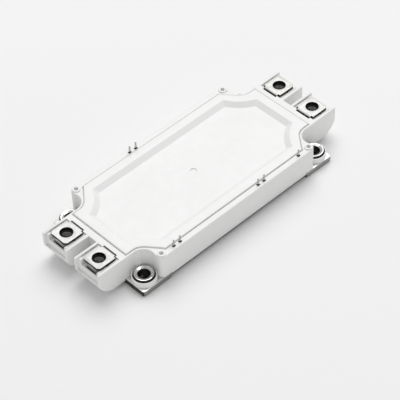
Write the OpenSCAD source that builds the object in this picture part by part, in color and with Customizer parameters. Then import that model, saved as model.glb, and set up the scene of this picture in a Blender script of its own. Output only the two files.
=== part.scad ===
// Half-bridge power semiconductor module: a metal base plate under a moulded frame with a lid,
// two screw terminals on each short end, seven signal pins and three populated substrates inside.
// Millimetres, +Z up, origin at the bottom centre of the base plate, X along the long side.

/* [Base plate] */
// Length of the base plate
plate_l = 122; // [118:0.5:130]
// Width of the base plate at its corner pads
plate_w = 62; // [60:0.5:68]
// Thickness of the base plate
plate_t = 3; // [2:0.1:4]
// Radius of the plate's corners
plate_corner_r = 1.2; // [0.5:0.1:3]
// How far the long edges step back between the corner pads
plate_relief = 1; // [0.6:0.1:1.4]
// How far that step lies inside the board towers
relief_setback = 1; // [0.5:0.1:3]

/* [Mounting holes] */
// Distance of a mounting hole from the plate's two edges
mount_edge = 6; // [5.5:0.1:6.5]
// Bore of the plate and of the mounting bush
mount_bore_d = 5.5; // [4.5:0.1:6]
// Outer diameter of the mounting bush
bush_d = 9.8; // [8.6:0.1:10]
// Height of the bush above the plate
bush_h = 4; // [2.5:0.1:6]
// Depth of the dished seat in the bush's top
bush_dish = 0.45; // [0.2:0.05:0.8]
// Flat edge left round that seat
bush_edge = 0.4; // [0.2:0.1:0.8]
// Gap between the bush and its collar
bush_gap = 0.45; // [0.1:0.05:0.5]
// Wall of the moulded collar round the bush
collar_wall = 0.6; // [0.5:0.05:0.65]
// How far the collar reaches into the wall of the round cut-out behind it
collar_bite = 0.15; // [0.05:0.05:0.3]
// How far the bush stands above its collar
bush_proud = 0.9; // [0.3:0.1:1.5]

/* [Frame] */
// How far each short side of the frame reaches past the plate's edge
frame_over_x = 1.6; // [1:0.1:2.5]
// How far each long side of the frame reaches past the plate's edge
frame_over_y = 0.1; // [0:0.05:0.5]
// Height of the frame's rim above the table
rim_z = 16.4; // [16:0.1:18.5]
// Wall between the corner cut-out and the cavity
corner_wall = 1.8; // [1.4:0.1:2.2]
// Height of the inner ledge above the frame's foot
ledge_h = 3.3; // [2.8:0.1:3.8]
// Depth of the ledge at the short sides, which carries the terminals
ledge_x = 5.5; // [5:0.1:6]
// Depth of the ledge at the long sides, which carries the pins
ledge_y = 2.2; // [1.8:0.1:3]
// How far the skirt reaches down beside the stepped-back plate edge
skirt_drop = 0.5; // [0.2:0.1:1.5]
// Gap between the skirt and the plate
skirt_gap = 0.3; // [0.1:0.05:0.5]
// Thickness of the sealing bead under the frame
seal_t = 0.2; // [0.1:0.05:0.4]
// How far the bead lies inside the plate's edge
seal_inset = 0.5; // [0.2:0.1:1]

/* [Circuit board towers] */
// Distance of a tower from the mounting hole, along the module
tower_back = 7.75; // [7.5:0.05:9]
// Radius of a tower
tower_r = 2.35; // [2.1:0.05:2.6]
// Diameter of the raised seat on a tower
tower_seat_d = 4.1; // [3.6:0.1:4.2]
// Height of the seat above the rim
tower_seat_h = 0.6; // [0.2:0.1:1.2]
// Diameter of the screw hole
tower_hole_d = 2; // [1.6:0.1:2.5]
// Depth of the screw hole
tower_hole_depth = 5; // [3:0.5:10]

/* [Lid] */
// Width of the rim at the short sides
rim_x = 3.8; // [3.4:0.1:4.2]
// Width of the rim at the long sides
rim_y = 3.1; // [2.9:0.1:3.6]
// Width of the rim beside a corner cut-out
rim_corner = 1.15; // [0.9:0.05:1.4]
// Width of the rim beside a board tower
rim_tower = 0.9; // [0.6:0.05:1.1]
// Gap round the lid
lid_gap = 0.5; // [0.35:0.05:0.6]
// Width of the step that the lid rests on
lid_seat = 1.8; // [1.2:0.1:2.2]
// Thickness of the lid's border
lid_t = 1.6; // [1.2:0.1:2]
// How far the lid's border stands above the rim
lid_up = 0.3; // [0:0.05:0.4]
// How far the lid lies off the middle of its pocket, both ways
lid_shift = 0.1; // [0:0.05:0.15]
// Depth of the lid's recess
recess_depth = 1.8; // [1:0.1:2.2]
// How far the recess wall leans in over that depth
recess_lean = 2.7; // [1.5:0.1:3.5]
// Thickness of the recess floor
tray_t = 1.3; // [1:0.1:1.6]
// Thickness of the recess wall, measured level
tray_skin = 1.2; // [0.8:0.1:1.6]
// Width of the flat border along the long sides
border_y = 4.7; // [4:0.1:6]
// Width of the flat border at the short sides
border_x = 4.8; // [4:0.1:6]
// Radius of the recess's corners, which bulge inwards
recess_corner_r = 22; // [18:0.5:26]
// How far the centre of that radius lies beyond the mounting hole, both ways
recess_corner_out = 7.4; // [6:0.1:8]
// Diameter of the gate dimple in the middle of the lid
dimple_d = 3.2; // [2:0.1:5]
// Depth of the gate dimple
dimple_depth = 0.35; // [0.1:0.05:0.6]

/* [Power terminals] */
// Distance of the screw axis from the frame's end wall
screw_out = 5.9; // [5.6:0.1:7]
// Distance of the screw axis from the outer side of its block
screw_edge = 8.2; // [8:0.1:8.6]
// Height of the contact face above the rim
contact_up = 0.6; // [0.2:0.1:1.6]
// Thickness of the terminal strip
strip_t = 1.2; // [0.8:0.1:1.4]
// Gap between the contact plate and the block's outer wall
contact_side = 1.3; // [1:0.1:1.5]
// Length of the contact plate beyond the screw axis
contact_out = 5.2; // [4.8:0.1:5.6]
// Length of the contact plate inside the screw axis
contact_in = 5; // [4.6:0.1:5.2]
// Corner chamfer of the contact plate
contact_chamfer = 1.2; // [0.5:0.1:2]
// Screw hole in the contact plate
contact_hole_d = 6.4; // [6.1:0.1:7]
// Width of the strip where it dives into the frame
neck_w = 8.6; // [6:0.1:9]
// Inside bend radius of the strip
bend_r = 0.4; // [0.3:0.1:0.7]
// Distance of the strips' wire landings from the module's axis
landing_in = 0.8; // [0.6:0.1:2]
// Distance of the wire landings from the corner of the cavity
landing_side = 1.9; // [1.5:0.1:3]
// Distance of the wire landings from the edge of the ledge
landing_back = 0.3; // [0.1:0.1:0.6]

/* [Terminal blocks] */
// Length of a block beyond the screw axis
block_over = 7.5; // [7:0.1:8.5]
// Width of the slot between two blocks
slot_w = 5; // [4:0.1:6]
// Thickness of the blocks' side walls
block_wall = 1.4; // [1:0.1:1.6]
// Height of the blocks' underside above the table
block_bottom_z = 2.1; // [1.5:0.1:2.5]
// Radius of the blocks' lower outer edge
block_round_r = 10; // [9.7:0.1:10.4]
// Distance from the blocks' front to where that radius starts
block_round_back = 9.5; // [9:0.1:9.6]
// Depth of the nut's deck below the rim
deck_down = 3.4; // [3:0.1:4.4]
// Depth of the front lip below the rim
lip_down = 7.1; // [6:0.1:7.1]
// Depth of the lip in front of the deck
lip_w = 1.3; // [0.8:0.1:1.6]
// Width of the open slit in front of the bent strip
slit_w = 0.4; // [0.3:0.1:1]
// Width of the core slits round the nut's seat
core_slit_w = 0.5; // [0.3:0.1:0.6]
// How far the shelves beside the nut's seat reach under the contact plate
shelf_lap = 0.2; // [0.1:0.1:0.4]
// Thickness of the wall in front of the nut's seat
front_wall = 0.7; // [0.6:0.1:0.9]
// Length of the core slit behind that wall
front_slit_l = 7.2; // [5:0.2:8]
// Depth of that slit
front_slit_down = 3; // [2:0.5:3.5]
// Depth of that slit below the rim
slit_down = 6; // [4:0.1:7]
// Thickness of the block's floor under the screw's end and the core slits
block_floor = 4.4; // [4:0.1:5]

/* [Nuts] */
// Width across the flats
nut_flats = 10; // [9:0.1:10]
// Height of the nut
nut_h = 5; // [4.5:0.1:5.2]
// Hole in the nut
nut_hole_d = 5; // [4.6:0.1:5.2]
// Gap between the nut and the contact plate
nut_gap = 0.2; // [0.1:0.05:0.4]
// Gap between the nut and its pocket
pocket_gap = 0.15; // [0.1:0.05:0.2]
// Room round the screw's end below the nut
screw_room = 0.9; // [0.5:0.1:1.5]

/* [Signal pins] */
// Grid on which the pins stand
pin_grid = 3.81; // [3.78:0.01:3.84]
// Distance of the pin rows from the outside of the long walls
pin_in = 1.9; // [1.6:0.1:2]
// Height of the pin tips above the rim
pin_out = 4.1; // [2:0.1:8]
// Width of a pin along the row
pin_w = 1.1; // [0.8:0.05:1.2]
// Thickness of a pin
pin_t = 0.8; // [0.5:0.05:0.9]
// Clear sink round the foot of a pin
pin_sink = 0.3; // [0.1:0.05:0.4]
// Depth of that sink
pin_sink_depth = 1.2; // [0.3:0.1:1.5]
// Distance of a pin's foot from the edge of the ledge
pin_foot_back = 0.2; // [0.1:0.05:0.5]

/* [Substrates] */
// Free plate between the outer substrates and the frame
bay_margin_x = 4.5; // [3:0.1:6]
// Free plate between a substrate's long side and the frame
bay_margin_y = 3.5; // [2.5:0.1:4.5]
// Gap between neighbouring substrates
substrate_gap = 0.5; // [0.3:0.1:1.5]
// Thickness of the ceramic
ceramic_t = 0.4; // [0.3:0.05:0.7]
// Thickness of the copper on either face
copper_t = 0.3; // [0.2:0.05:0.5]
// Bare margin of the ceramic
ceramic_margin = 0.5; // [0.3:0.1:0.7]
// Thickness of the solder under a substrate
solder_t = 0.2; // [0.1:0.05:0.3]
// Etched gap between two conductors
etch_gap = 0.6; // [0.4:0.1:0.8]
// Width of the minus strip
minus_w = 5.4; // [4.6:0.1:6.5]
// Free copper beside the chips on the plus field
plus_land = 1.4; // [1.2:0.1:2]
// Free copper beside the chips on the phase field
phase_land = 3.6; // [3:0.1:4.5]
// Width of a signal track
track_w = 1; // [0.8:0.1:1.2]

/* [Chips and wires] */
// Copper left round a chip
chip_edge = 0.6; // [0.4:0.1:1]
// Gap between a transistor and its diode
chip_gap = 2; // [1:0.1:2.5]
// How much smaller a diode's edge is than a transistor's
diode_less = 2; // [1:0.1:4]
// Thickness of the chips
chip_t = 0.25; // [0.15:0.05:0.4]
// Diameter of a bond wire
wire_d = 0.4; // [0.3:0.05:0.5]
// Loop height of a bond wire
wire_rise = 2; // [1.5:0.1:2.4]
// Distance of a wire's foot from the edge of its conductor
wire_land = 0.6; // [0.4:0.1:0.8]
// Distance of a wire's foot from the end of the terminal's landing
terminal_land = 2; // [1:0.1:3]
// Distance of the outermost wires from a chip's edge
wire_margin = 1.7; // [1:0.1:2.5]
// Distance between wires that lie side by side on a conductor
link_step = 0.8; // [0.7:0.05:1]
// Room round the wires in the gel
wire_room = 0.05; // [0.03:0.01:0.1]
// Height of the gel's surface above the ledge
gel_over = 4.5; // [4:0.1:5.5]

/* [Hidden] */
$fn = 64;
eps = 0.01;
over = 1;
sides = [-1, 1];

// plan of the plate and the frame
mount_x = plate_l / 2 - mount_edge;
mount_y = plate_w / 2 - mount_edge;
frame_l = plate_l + 2 * frame_over_x;
frame_w = plate_w + 2 * frame_over_y;
tower_x = mount_x - tower_back;
tower_y = frame_w / 2 - tower_r;
relief_half_x = tower_x - tower_r - relief_setback;
skirt_t = frame_w / 2 - (plate_w / 2 - plate_relief) - skirt_gap;

// collar about the mounting bush, and the frame's round cut-out above it
collar_r = bush_d / 2 + bush_gap + collar_wall;
cut_r = collar_r - collar_bite;
collar_top = plate_t + bush_h - bush_proud;
block_half_y = mount_y - cut_r;

// heights inside the frame
foot_z = plate_t + seal_t;
ledge_z = foot_z + ledge_h;
lid_top = rim_z + lid_up;
lid_under = lid_top - lid_t;
tray_floor = lid_top - recess_depth;
tray_under = tray_floor - tray_t;
lean = recess_lean / recess_depth;
gel_z = ledge_z + gel_over;

// plans of the lid, the cavity under it and the bay between the ledges
lid_half_x = frame_l / 2 - rim_x;
lid_half_y = frame_w / 2 - rim_y;
lid_corner_r = cut_r + rim_corner;
lid_tower_r = tower_r + rim_tower;
cavity_half_x = lid_half_x - lid_seat;
cavity_half_y = lid_half_y - lid_seat;
bay_half_x = cavity_half_x - ledge_x;
bay_half_y = cavity_half_y - ledge_y;
bay_corner_r = cut_r + corner_wall;
bay_tower_r = lid_tower_r + bay_corner_r - lid_corner_r;
recess_half_x = lid_half_x - border_x;
recess_half_y = lid_half_y - border_y;

// terminal strip
screw_x = frame_l / 2 + screw_out;
screw_y = block_half_y - screw_edge;
contact_w = 2 * (screw_edge - block_wall - contact_side);
contact_z = rim_z + contact_up;
contact_under = contact_z - strip_t;
deck_start_x = screw_x - contact_in;
leg_out_x = deck_start_x - bend_r;
leg_in_x = leg_out_x - strip_t;
landing_end_x = bay_half_x + landing_back;
landing_to_y = mount_y - bay_corner_r - landing_side;
landing_top = ledge_z + strip_t;
neck_half = neck_w / 2;

// terminal block; the nut stands in a block as wide as the contact plate, between core slits
block_half_x = screw_x + block_over;
block_in_y = slot_w / 2;
block_start_x = plate_l / 2 + 0.2;
pocket_in_y = block_in_y + block_wall;
pocket_out_y = block_half_y - block_wall;
deck_z = rim_z - deck_down;
lip_z = rim_z - lip_down;
nut_under = contact_under - nut_gap - nut_h;
shelf_in = contact_w / 2 - shelf_lap;
core_floor = block_bottom_z + block_floor;
slit_floor = rim_z - slit_down;
relief_w = contact_w / 2 - neck_half + 0.1;
relief_back = 0.4;

// substrates, three in a row
substrate_count = 3;
ceramic_l = (2 * (bay_half_x - bay_margin_x) - (substrate_count - 1) * substrate_gap) / substrate_count;
ceramic_w = 2 * (bay_half_y - bay_margin_y);
substrate_pitch = ceramic_l + substrate_gap;
conductor_half_x = ceramic_l / 2 - ceramic_margin;
conductor_half_y = ceramic_w / 2 - ceramic_margin;
track_pitch = track_w + etch_gap;

// chips: two bands of them share the width that strips, tracks, lands and gaps leave
transistor_s = (2 * (conductor_half_y - track_pitch - etch_gap - 2 * chip_edge) - minus_w - plus_land
    - phase_land) / 2;
diode_s = transistor_s - diode_less;
transistor_x = -(chip_gap + diode_s) / 2;
diode_x = (chip_gap + transistor_s) / 2;

// conductor bands on a substrate, from the far edge to the near edge: plus field, phase field,
// minus strip and two signal tracks
plus_to_y = conductor_half_y;
plus_from_y = plus_to_y - transistor_s - 2 * chip_edge - plus_land;
phase_to_y = plus_from_y - etch_gap;
phase_from_y = phase_to_y - transistor_s - 2 * chip_edge - phase_land;
minus_to_y = phase_from_y - etch_gap;
minus_from_y = minus_to_y - minus_w;

// heights of the substrate stack
solder_top = plate_t + solder_t;
back_copper_top = solder_top + copper_t;
ceramic_top = back_copper_top + ceramic_t;
copper_top = ceramic_top + copper_t;
chip_top = copper_top + chip_t;

// bond wires side by side
transistor_wires = 6;
diode_wires = 4;
link_wires_in_row = 5;

// pins: name, place along the row in substrate pitches, steps from there on the grid, side, and
// the track that its wire lands on, counted from the edge
PINS = [
    ["pin_low_gate", -1.2, -1, -1, 0],
    ["pin_low_emitter", -1.2, 0, -1, 1],
    ["pin_high_gate", 0.5, -1, -1, 0],
    ["pin_high_emitter", 0.5, 0, -1, 1],
    ["pin_collector_sense", 1.27, 0, -1, 0],
    ["pin_thermistor_a", -0.42, 0, 1, 0],
    ["pin_thermistor_b", -0.42, 1, 1, 0]
];
pin_row_y = frame_w / 2 - pin_in;
pin_tip_z = rim_z + pin_out;
pin_foot_top = ledge_z + pin_t;
pin_foot_end = bay_half_y + pin_foot_back;
// half-grid place nearest to the pin's own place, so that all pins share one grid
function pin_x(p) = (round(p[1] * substrate_pitch / pin_grid - 0.5) + 0.5 + p[2]) * pin_grid;

// thermistor on two pads at the far edge of the middle substrate, below its two pins
thermistor_pins = [on_substrate(pin_x(PINS[5])), on_substrate(pin_x(PINS[6]))];
pad_w = 2.6;
thermistor_size = [2.4, 0.8, 0.6];

// terminals: name, end, side
TERMINALS = [
    ["terminal_ac_near", -1, -1],
    ["terminal_ac_far", -1, 1],
    ["terminal_dc_minus", 1, -1],
    ["terminal_dc_plus", 1, 1]
];

SUBSTRATES = [0 : substrate_count - 1];
BUSHES = [[-1, -1], [-1, 1], [1, -1], [1, 1]];
function substrate_x(i) = (i - 1) * substrate_pitch;

// copies the children to all four corners by mirroring
module four_corners() {
    for (sx = [0, 1], sy = [0, 1]) mirror([sx, 0, 0]) mirror([0, sy, 0]) children();
}

// a block that stands on the plane z = 0, centred about the Z axis
module slab(l, w, h) {
    translate([-l / 2, -w / 2, 0]) cube([l, w, h]);
}

// the base plate: rounded corners, and long edges that step back between the corner pads
module base_plate() {
    color("silver") difference() {
        union() {
            slab(plate_l, plate_w - 2 * plate_corner_r, plate_t);
            slab(plate_l - 2 * plate_corner_r, plate_w, plate_t);
            four_corners() translate([plate_l / 2 - plate_corner_r, plate_w / 2 - plate_corner_r, 0])
                cylinder(r = plate_corner_r, h = plate_t);
        }
        for (s = sides) translate([0, s * plate_w / 2, -over])
            slab(2 * relief_half_x, 2 * plate_relief, plate_t + 2 * over);
        four_corners() translate([mount_x, mount_y, -over])
            cylinder(d = mount_bore_d, h = plate_t + 2 * over);
    }
}

// the frame's main body: long walls that end in the board towers, short walls between the corner
// cut-outs, and a round cut about each mounting hole
module frame_body(h) {
    difference() {
        union() {
            slab(2 * tower_x, frame_w, h);
            slab(2 * (tower_x + tower_r), 2 * tower_y, h);
            slab(2 * mount_x, 2 * mount_y, h);
            slab(frame_l, 2 * block_half_y, h);
            four_corners() translate([tower_x, tower_y, 0]) cylinder(r = tower_r, h = h);
        }
        four_corners() translate([mount_x, mount_y, -over]) cylinder(r = cut_r, h = h + 2 * over);
    }
}

// plan of the lid and of everything inside it: a rectangle whose corners give way to an arc about
// the mounting hole, an arc about the board tower and the straight line that touches both
module bay_plan(half_x, half_y, corner_r, keep_r) {
    hole = [mount_x, mount_y];
    tower = [tower_x, tower_y];
    run = tower - hole;
    turn = atan2(run[1], run[0]) + acos((corner_r - keep_r) / norm(run));
    inward = [cos(turn), sin(turn)];
    difference() {
        square([2 * half_x, 2 * half_y], center = true);
        four_corners() {
            translate(hole) circle(corner_r);
            translate(tower) circle(keep_r);
            polygon([hole + corner_r * inward, hole, tower, tower + keep_r * inward]);
            translate([mount_x, mount_y - corner_r]) square([half_x, half_y]);
            translate([tower_x, mount_y]) square([half_x, half_y]);
        }
    }
}

module lid_plan(grow) {
    bay_plan(lid_half_x + grow, lid_half_y + grow, lid_corner_r - grow, lid_tower_r - grow);
}

module cavity_plan() {
    bay_plan(cavity_half_x, cavity_half_y, bay_corner_r, bay_tower_r);
}

module lower_bay_plan() {
    bay_plan(bay_half_x, bay_half_y, bay_corner_r, bay_tower_r);
}

// bead of sealant between the plate and the foot of the frame, set back from the plate's edge
module base_seal() {
    color("gainsboro") translate([0, 0, plate_t]) difference() {
        intersection() {
            frame_body(seal_t);
            slab(plate_l - 2 * seal_inset, plate_w - 2 * plate_relief - 2 * seal_inset, seal_t);
        }
        translate([0, 0, -over]) linear_extrude(seal_t + 2 * over) lower_bay_plan();
        four_corners() translate([mount_x, mount_y, -over]) cylinder(r = collar_r, h = seal_t + 2 * over);
    }
}

// side view of one terminal block, rounded at its lower outer edge; the front is cut back above the lip
module block_side(front_x) {
    round_x = block_half_x - block_round_back;
    round_z = block_bottom_z + block_round_r;
    difference() {
        union() {
            translate([block_start_x, block_bottom_z])
                square([round_x - block_start_x, rim_z - block_bottom_z]);
            translate([round_x - eps, round_z]) square([block_round_back + eps, rim_z - round_z]);
            intersection() {
                translate([round_x, round_z]) circle(block_round_r);
                translate([round_x - eps, block_bottom_z]) square([block_round_back + eps, block_round_r]);
            }
        }
        translate([front_x, lip_z]) square([block_half_x, rim_z]);
    }
}

// stands a side view (x, z) upright, from y0 to y1
module upright(y0, y1) {
    translate([0, y1, 0]) rotate([90, 0, 0]) linear_extrude(y1 - y0) children();
}

// one block at the +X, +Y corner: two side walls and the deck with its nut pocket and core slits
module terminal_block() {
    difference() {
        union() {
            upright(block_in_y, pocket_in_y) block_side(block_half_x + over);
            upright(pocket_in_y - eps, pocket_out_y + eps) block_side(block_half_x - lip_w);
            upright(pocket_out_y, block_half_y) block_side(block_half_x + over);
        }
        // room above the deck, between the shelves that flank the contact plate
        translate([deck_start_x, screw_y - shelf_in, deck_z])
            cube([block_half_x, 2 * shelf_in, rim_z]);
        // nut pocket and room for the screw's end
        hexagon(nut_flats + 2 * pocket_gap, rim_z);
        translate([screw_x, screw_y, core_floor]) cylinder(d = nut_hole_d + 2 * screw_room, h = rim_z);
        // core slits beside the side walls and behind the front wall
        for (y = [pocket_in_y, pocket_out_y - core_slit_w])
            translate([deck_start_x, y, core_floor])
                cube([block_half_x - lip_w - deck_start_x - block_wall, core_slit_w, rim_z]);
        translate([
            block_half_x - lip_w - front_wall - core_slit_w,
            screw_y - front_slit_l / 2,
            deck_z - front_slit_down
        ])
            cube([core_slit_w, front_slit_l, rim_z]);
        // seat of the strip and open slit in front of its bend
        translate([0, pocket_in_y, contact_under])
            cube([block_half_x, pocket_out_y - pocket_in_y, rim_z]);
    }
}

// slot in which the bent strip dives, with the slit in front of it and a relief on each side
module strip_slot() {
    slot_from = leg_in_x - slit_w;
    translate([slot_from, screw_y - neck_half, slit_floor])
        cube([leg_in_x - slot_from + eps, neck_w, rim_z]);
    translate([leg_in_x, screw_y - neck_half, contact_under - bend_r - eps])
        cube([deck_start_x - leg_in_x, neck_w, rim_z]);
    for (s = sides)
        translate([
            leg_out_x - relief_back,
            screw_y + s * (contact_w - relief_w) / 2 - relief_w / 2,
            deck_z
        ])
            cube([deck_start_x - leg_out_x + relief_back + eps, relief_w, rim_z]);
}

module frame_solid() {
    translate([0, 0, foot_z]) frame_body(rim_z - foot_z);
    // skirt beside the stepped-back plate edges
    for (s = sides) translate([0, s * (frame_w - skirt_t) / 2, plate_t - skirt_drop])
        slab(2 * (relief_half_x - skirt_gap), skirt_t, foot_z - plate_t + skirt_drop + over);
    // collars about the mounting bushes
    four_corners() translate([mount_x, mount_y, plate_t]) cylinder(r = collar_r, h = collar_top - plate_t);
    // raised seats of the board towers
    four_corners() translate([tower_x, tower_y, rim_z - over])
        cylinder(d = tower_seat_d, h = over + tower_seat_h);
    four_corners() terminal_block();
}

module housing_frame() {
    color("white") difference() {
        frame_solid();
        translate([0, 0, plate_t - over]) linear_extrude(rim_z) lower_bay_plan();
        translate([0, 0, ledge_z]) linear_extrude(rim_z) cavity_plan();
        translate([0, 0, lid_under]) linear_extrude(rim_z) lid_plan(lid_gap / 2);
        four_corners() {
            translate([mount_x, mount_y, 0]) cylinder(d = bush_d + 2 * bush_gap, h = rim_z);
            translate([tower_x, tower_y, rim_z + tower_seat_h - tower_hole_depth])
                cylinder(d = tower_hole_d, h = tower_hole_depth + over);
            strip_slot();
        }
        for (t = TERMINALS) terminal(t[1], t[2]);
        for (p = PINS) {
            pin(p);
            pin_sink(p);
        }
    }
}

// the tapered volume of the lid's recess between two heights: two crossed trapezoid prisms, less a
// cone beyond each mounting hole
module recess(grow, z0, z1) {
    x0 = recess_half_x + grow + (z0 - lid_top) * lean;
    x1 = recess_half_x + grow + (z1 - lid_top) * lean;
    y0 = recess_half_y + grow + (z0 - lid_top) * lean;
    y1 = recess_half_y + grow + (z1 - lid_top) * lean;
    r0 = recess_corner_r - grow - (z0 - lid_top) * lean;
    r1 = recess_corner_r - grow - (z1 - lid_top) * lean;
    difference() {
        intersection() {
            upright(-plate_w, plate_w) polygon([[-x0, z0], [x0, z0], [x1, z1], [-x1, z1]]);
            rotate([0, 0, 90]) upright(-plate_l, plate_l)
                polygon([[-y0, z0], [y0, z0], [y1, z1], [-y1, z1]]);
        }
        four_corners() translate([mount_x + recess_corner_out, mount_y + recess_corner_out, z0])
            cylinder(r1 = r0, r2 = r1, h = z1 - z0);
    }
}

module lid() {
    color("whitesmoke") difference() {
        union() {
            translate([lid_shift, lid_shift, lid_under]) linear_extrude(lid_t) lid_plan(-lid_gap / 2);
            recess(tray_skin, tray_under, lid_under + eps);
        }
        recess(0, tray_floor, lid_top + over);
        translate([0, 0, tray_floor - dimple_depth]) cylinder(d = dimple_d, h = rim_z);
    }
}

// side view of a terminal strip: contact plate, bend, leg, bend and wire landing
module strip_side(x0, x1) {
    top_z = contact_under - bend_r;
    low_z = landing_top + bend_r;
    intersection() {
        union() {
            translate([leg_out_x + bend_r - eps, contact_under])
                square([screw_x + contact_out - leg_out_x - bend_r + eps, strip_t]);
            quarter_bend([leg_out_x + bend_r, top_z], [-1, 1]);
            translate([leg_in_x, low_z]) square([strip_t, top_z - low_z]);
            quarter_bend([leg_in_x - bend_r, low_z], [1, -1]);
            translate([landing_end_x, ledge_z])
                square([leg_in_x - bend_r - landing_end_x + eps, strip_t]);
        }
        translate([x0, 0]) square([x1 - x0, 2 * contact_z]);
    }
}

// a quarter of a ring about a centre, in the quadrant that a pair of signs names
module quarter_bend(centre, quadrant) {
    translate(centre) scale_to(quadrant) intersection() {
        difference() {
            circle(bend_r + strip_t);
            circle(bend_r);
        }
        square(bend_r + strip_t + over);
    }
}

module scale_to(quadrant) {
    mirror([quadrant[0] < 0 ? 1 : 0, 0]) mirror([0, quadrant[1] < 0 ? 1 : 0]) children();
}

// a terminal strip at one end and side
module terminal(end, side) {
    mirror([end < 0 ? 1 : 0, 0, 0]) mirror([0, side < 0 ? 1 : 0, 0]) {
        difference() {
            upright(screw_y - contact_w / 2, screw_y + contact_w / 2)
                strip_side(deck_start_x, block_half_x);
            translate([screw_x, screw_y, 0]) cylinder(d = contact_hole_d, h = 2 * contact_z);
            for (s = sides)
                translate([screw_x + contact_out, screw_y + s * contact_w / 2, 0])
                    rotate([0, 0, 45])
                    cube([sqrt(2) * contact_chamfer, sqrt(2) * contact_chamfer, 4 * contact_z],
                        center = true);
        }
        upright(screw_y - neck_half, screw_y + neck_half) strip_side(leg_in_x - bend_r, deck_start_x);
        upright(landing_in, landing_to_y) strip_side(landing_end_x, leg_in_x - bend_r);
    }
}

// hexagon on a terminal screw's axis, from the nut's underside up, with two flats across X
module hexagon(flats, h) {
    translate([screw_x, screw_y, nut_under]) rotate([0, 0, 30])
        cylinder(d = flats / cos(30), h = h, $fn = 6);
}

module terminal_nuts() {
    color("lightgray") four_corners() difference() {
        hexagon(nut_flats, nut_h);
        translate([screw_x, screw_y, nut_under - over]) cylinder(d = nut_hole_d, h = nut_h + 2 * over);
    }
}

// a rolled bush with a shallow dished seat for the screw's head
module mount_bush(place) {
    color("silver") translate([place[0] * mount_x, place[1] * mount_y, plate_t]) difference() {
        cylinder(d = bush_d, h = bush_h);
        translate([0, 0, -over]) cylinder(d = mount_bore_d, h = bush_h + 2 * over);
        translate([0, 0, bush_h - bush_dish])
            cylinder(d1 = mount_bore_d, d2 = bush_d - 2 * bush_edge, h = bush_dish + eps);
    }
}

// a signal pin: an upright blade with a bent foot on the frame's ledge
module pin(p) {
    x0 = pin_x(p) - pin_w / 2;
    mirror([0, p[3] < 0 ? 1 : 0, 0]) {
        translate([x0, pin_row_y - pin_t / 2, ledge_z])
            cube([pin_w, pin_t, pin_tip_z - ledge_z - pin_t / 2]);
        // chamfered tip
        translate([x0 + pin_w, pin_row_y, pin_tip_z - pin_t / 2]) rotate([90, 0, -90])
            linear_extrude(pin_w)
                polygon([[-pin_t / 2, 0], [pin_t / 2, 0], [pin_t / 5, pin_t / 2], [-pin_t / 5, pin_t / 2]]);
        translate([x0, pin_foot_end, ledge_z]) cube([pin_w, pin_row_y - pin_foot_end, pin_t]);
    }
}

module pin_sink(p) {
    translate([pin_x(p), p[3] * pin_row_y, rim_z - pin_sink_depth])
        slab(pin_w + 2 * pin_sink, pin_t + 2 * pin_sink, pin_sink_depth + over);
}

module substrate_solder(i) {
    color("darkgray") translate([substrate_x(i), 0, plate_t])
        slab(2 * conductor_half_x, 2 * conductor_half_y, solder_t);
}

module substrate_back_copper(i) {
    color("peru") translate([substrate_x(i), 0, solder_top])
        slab(2 * conductor_half_x, 2 * conductor_half_y, copper_t);
}

module substrate_ceramic(i) {
    color("ivory") translate([substrate_x(i), 0, back_copper_top])
        slab(ceramic_l, ceramic_w, ceramic_t);
}

// etched conductors of a substrate; the middle one also has the thermistor's two pads
module substrate_conductors(i) {
    bands = [
        [plus_from_y, plus_to_y],
        [phase_from_y, phase_to_y],
        [minus_from_y, minus_to_y],
        [-conductor_half_y + track_pitch, -conductor_half_y + track_pitch + track_w],
        [-conductor_half_y, -conductor_half_y + track_w]
    ];
    color("peru") translate([0, 0, ceramic_top]) {
        difference() {
            for (b = bands) translate([substrate_x(i) - conductor_half_x, b[0], 0])
                cube([2 * conductor_half_x, b[1] - b[0], copper_t]);
            if (i == 1) for (x = thermistor_pins) pad(x, etch_gap, copper_t + over);
        }
        if (i == 1) for (x = thermistor_pins) pad(x, 0, copper_t);
    }
}

// one pad of the thermistor, or the field's cut-out round it where grow is the etched gap
module pad(x, grow, h) {
    translate([x - pad_w / 2 - grow, plus_to_y - track_w - grow, 0])
        cube([pad_w + 2 * grow, track_w + 2 * grow, h]);
}

// near edge of the chips on the plus field (high) or on the phase field (low)
function chip_from_y(level) = (level == "high" ? plus_from_y : phase_from_y) + chip_edge;

module chip(i, level, x, s) {
    translate([substrate_x(i) + x - s / 2, chip_from_y(level), copper_top]) cube([s, s, chip_t]);
}

module transistor_chip(i, level) {
    color("dimgray") chip(i, level, transistor_x, transistor_s);
}

module diode_chip(i, level) {
    color("slategray") chip(i, level, diode_x, diode_s);
}

// arc through two feet (along, height) that rises above their chord; gives [centre, radius]
function arc_of(p, q, rise) =
    let (
        chord = norm(q - p),
        radius = (chord * chord / 4 + rise * rise) / (2 * rise),
        middle = (p + q) / 2,
        up = [-(q[1] - p[1]), q[0] - p[0]] / chord
    ) [middle + up * (rise - radius), radius];

// keeps the children above the surfaces that the two feet stand on: the first foot stands on the
// lower one, and the upper one starts a stretch called land before the second foot
module above_feet(p, q, land, half_w) {
    long = 4 * norm(q - p);
    forward = q[0] > p[0];
    difference() {
        intersection() {
            children();
            translate([p[0] - long, -half_w, p[1]]) cube([2 * long, 2 * half_w, long]);
        }
        if (q[1] > p[1])
            translate([forward ? q[0] - land : q[0] + land - long, -half_w - over, p[1] - over])
                cube([long, 2 * (half_w + over), q[1] - p[1] + over]);
    }
}

// one bond wire in the X-Z plane: a stretch of a ring, cut flat where its feet stand
module wire_arc(p, q, rise, land) {
    arc = arc_of(p, q, rise);
    above_feet(p, q, land, wire_d)
        translate([arc[0][0], 0, arc[0][1]]) rotate([90, 0, 0])
            rotate_extrude(angle = 180, $fn = 48) translate([arc[1], 0]) circle(d = wire_d, $fn = 16);
}

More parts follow.
